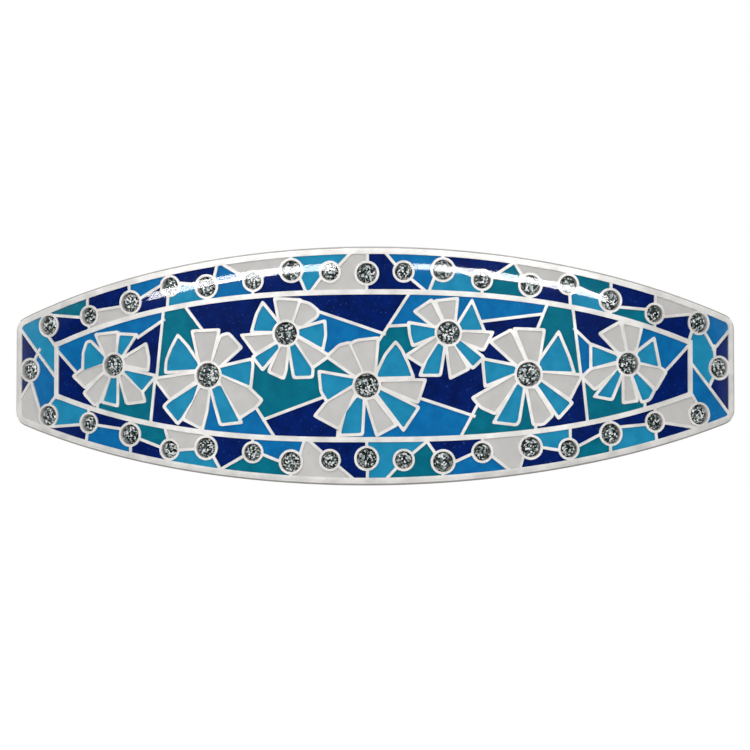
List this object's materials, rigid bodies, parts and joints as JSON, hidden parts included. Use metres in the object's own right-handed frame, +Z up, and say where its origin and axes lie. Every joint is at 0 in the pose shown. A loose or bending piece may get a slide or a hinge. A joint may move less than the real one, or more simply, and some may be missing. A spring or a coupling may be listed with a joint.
{
  "type": "barrette",
  "caption": "Curved boat-shaped barrette, metal plate with enamel mosaic, flowers and set stones under a clear coat, with a French clip behind it.",
  "frame": {"origin": "middle of the lock of hair, half way between the tension leaf and the closed clasp arm, at the middle of the plate", "axes": "+X to the right seen from the front and along the plate, +Y into the head, +Z up as the barrette is worn across the head"},
  "size_m": [0.0994, 0.0203, 0.032],
  "materials": {
    "silver_plate": "bright silver-plated stamped metal, polished wall tops",
    "enamel_blue": "opaque filled enamel in blues, teal and warm grey",
    "enamel_navy": "opaque filled enamel in navy, blues, teal and warm grey",
    "clear_epoxy": "clear domed epoxy, high gloss",
    "crystal": "dark flat-backed stone, faceted and foiled",
    "nickel_steel": "nickel-plated steel strip",
    "spring_steel": "tempered spring steel, nickel-plated"
  },
  "bodies": {
    "plate": {"face_plate": "silver_plate", "border_enamel": "enamel_blue", "field_enamel": "enamel_navy", "clear_coat": "clear_epoxy", "crystal_top_01": "crystal", "crystal_top_02": "crystal", "crystal_top_03": "crystal", "crystal_top_04": "crystal", "crystal_top_05": "crystal", "crystal_top_06": "crystal", "crystal_top_07": "crystal", "crystal_top_08": "crystal", "crystal_top_09": "crystal", "crystal_top_10": "crystal", "crystal_top_11": "crystal", "crystal_top_12": "crystal", "crystal_top_13": "crystal", "crystal_top_14": "crystal", "crystal_top_15": "crystal", "crystal_top_16": "crystal", "crystal_top_17": "crystal", "crystal_bottom_01": "crystal", "crystal_bottom_02": "crystal", "crystal_bottom_03": "crystal", "crystal_bottom_04": "crystal", "crystal_bottom_05": "crystal", "crystal_bottom_06": "crystal", "crystal_bottom_07": "crystal", "crystal_bottom_08": "crystal", "crystal_bottom_09": "crystal", "crystal_bottom_10": "crystal", "crystal_bottom_11": "crystal", "crystal_bottom_12": "crystal", "crystal_bottom_13": "crystal", "crystal_bottom_14": "crystal", "crystal_bottom_15": "crystal", "crystal_bottom_16": "crystal", "crystal_bottom_17": "crystal", "crystal_end_left": "crystal", "crystal_end_right": "crystal", "flower_crystal_1": "crystal", "flower_crystal_2": "crystal", "flower_crystal_3": "crystal", "flower_crystal_4": "crystal", "flower_crystal_5": "crystal", "flower_crystal_6": "crystal", "flower_crystal_7": "crystal", "clip_base": "nickel_steel", "hinge_pin": "nickel_steel", "tension_leaf": "spring_steel", "catch_base": "spring_steel", "catch_rivet": "nickel_steel"},
    "arm": {"clasp_arm": "nickel_steel"},
    "upper_leg": {"catch_leg_upper": "spring_steel"},
    "lower_leg": {"catch_leg_lower": "spring_steel"}
  },
  "joints": [
    {"name": "clasp_hinge", "type": "hinge", "parent": "plate", "child": "arm", "pos_m": [-0.03459, 0.0066, 0], "axis": [0, 0, 1], "range_deg": [0, 75], "deforming": ["catch_leg_upper", "catch_leg_lower"]},
    {"name": "upper_leg_pinch", "type": "hinge", "parent": "plate", "child": "upper_leg", "pos_m": [0.03548, 0.00246, 0.00285], "axis": [-0.9246, -0.3808, 0], "range_deg": [0, 6], "stiffness_Nm_per_rad": 0.1},
    {"name": "lower_leg_pinch", "type": "hinge", "parent": "plate", "child": "lower_leg", "pos_m": [0.03548, 0.00246, -0.00285], "axis": [0.9246, 0.3808, 0], "range_deg": [0, 6], "stiffness_Nm_per_rad": 0.1}
  ],
  "couplings": [
    {"joint": "lower_leg_pinch", "follows": "upper_leg_pinch", "ratio": 1}
  ]
}
